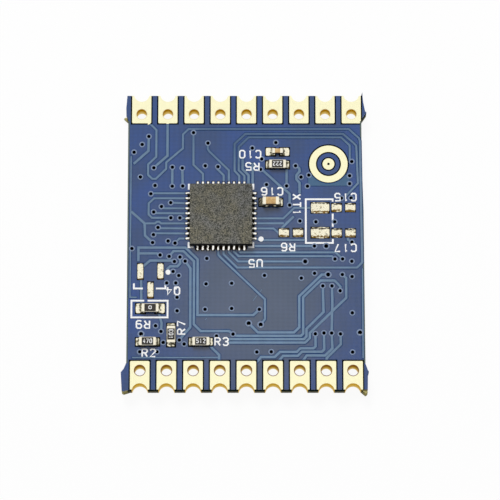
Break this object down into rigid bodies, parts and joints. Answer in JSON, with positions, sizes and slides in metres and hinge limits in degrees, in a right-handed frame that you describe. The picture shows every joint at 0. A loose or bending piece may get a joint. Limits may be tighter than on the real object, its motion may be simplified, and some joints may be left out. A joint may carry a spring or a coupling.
{
  "type": "wireless transceiver module",
  "caption": "Flat circuit module with two rows of plated edge terminals, a square leadless chip, chip parts, an antenna land and bare lands for parts not fitted.",
  "frame": {"origin": "on the back face, at the middle of the grid of pin holes", "axes": "+X along the rows, to the side of the antenna land; +Y across to the row beside the antenna land; +Z out of the face that carries the chip"},
  "size_m": [0.0237, 0.0298, 0.0025],
  "materials": {
    "laminate": "sawn glass-epoxy",
    "solder_mask": "blue glossy film",
    "gold_plating": "pale immersion gold",
    "chip_mould": "grainy moulded epoxy",
    "tinned_metal": "matt tin",
    "solder": "bright solder",
    "tinned_land": "satin tinned",
    "capacitor_ceramic": "tan fired ceramic",
    "resistor_coat": "dark glass coat",
    "resistor_ceramic": "white alumina",
    "masked_copper": "blue film over copper",
    "via_plating": "film over plated copper",
    "print": "white ink"
  },
  "bodies": {
    "root": {"laminate": "laminate", "front_solder_mask": "solder_mask", "back_solder_mask": "solder_mask", "terminal_near_1": "gold_plating", "terminal_near_2": "gold_plating", "terminal_near_3": "gold_plating", "terminal_near_4": "gold_plating", "terminal_near_5": "gold_plating", "terminal_near_6": "gold_plating", "terminal_near_7": "gold_plating", "terminal_near_8": "gold_plating", "terminal_near_9": "gold_plating", "terminal_far_1": "gold_plating", "terminal_far_2": "gold_plating", "terminal_far_3": "gold_plating", "terminal_far_4": "gold_plating", "terminal_far_5": "gold_plating", "terminal_far_6": "gold_plating", "terminal_far_7": "gold_plating", "terminal_far_8": "gold_plating", "terminal_far_9": "gold_plating", "antenna_ring": "gold_plating", "antenna_feed_land": "gold_plating", "chip_body": "chip_mould", "chip_contacts": "tinned_metal", "chip_heat_pad": "tinned_metal", "chip_solder": "solder", "capacitor_1_body": "capacitor_ceramic", "capacitor_2_body": "capacitor_ceramic", "capacitor_1_ends": "tinned_metal", "capacitor_2_ends": "tinned_metal", "resistor_1_body": "resistor_ceramic", "resistor_2_body": "resistor_ceramic", "resistor_3_body": "resistor_ceramic", "resistor_4_body": "resistor_ceramic", "resistor_5_body": "resistor_ceramic", "resistor_1_coat": "resistor_coat", "resistor_2_coat": "resistor_coat", "resistor_3_coat": "resistor_coat", "resistor_4_coat": "resistor_coat", "resistor_5_coat": "resistor_coat", "resistor_1_ends": "tinned_metal", "resistor_2_ends": "tinned_metal", "resistor_3_ends": "tinned_metal", "resistor_4_ends": "tinned_metal", "resistor_5_ends": "tinned_metal", "chip_part_solder": "solder", "crystal_lands": "tinned_land", "transistor_lands": "tinned_land", "resistor_lands": "tinned_land", "far_capacitor_lands": "tinned_land", "near_capacitor_lands": "tinned_land", "copper_traces": "masked_copper", "plated_vias": "via_plating", "printed_marks": "print"}
  },
  "joints": []
}
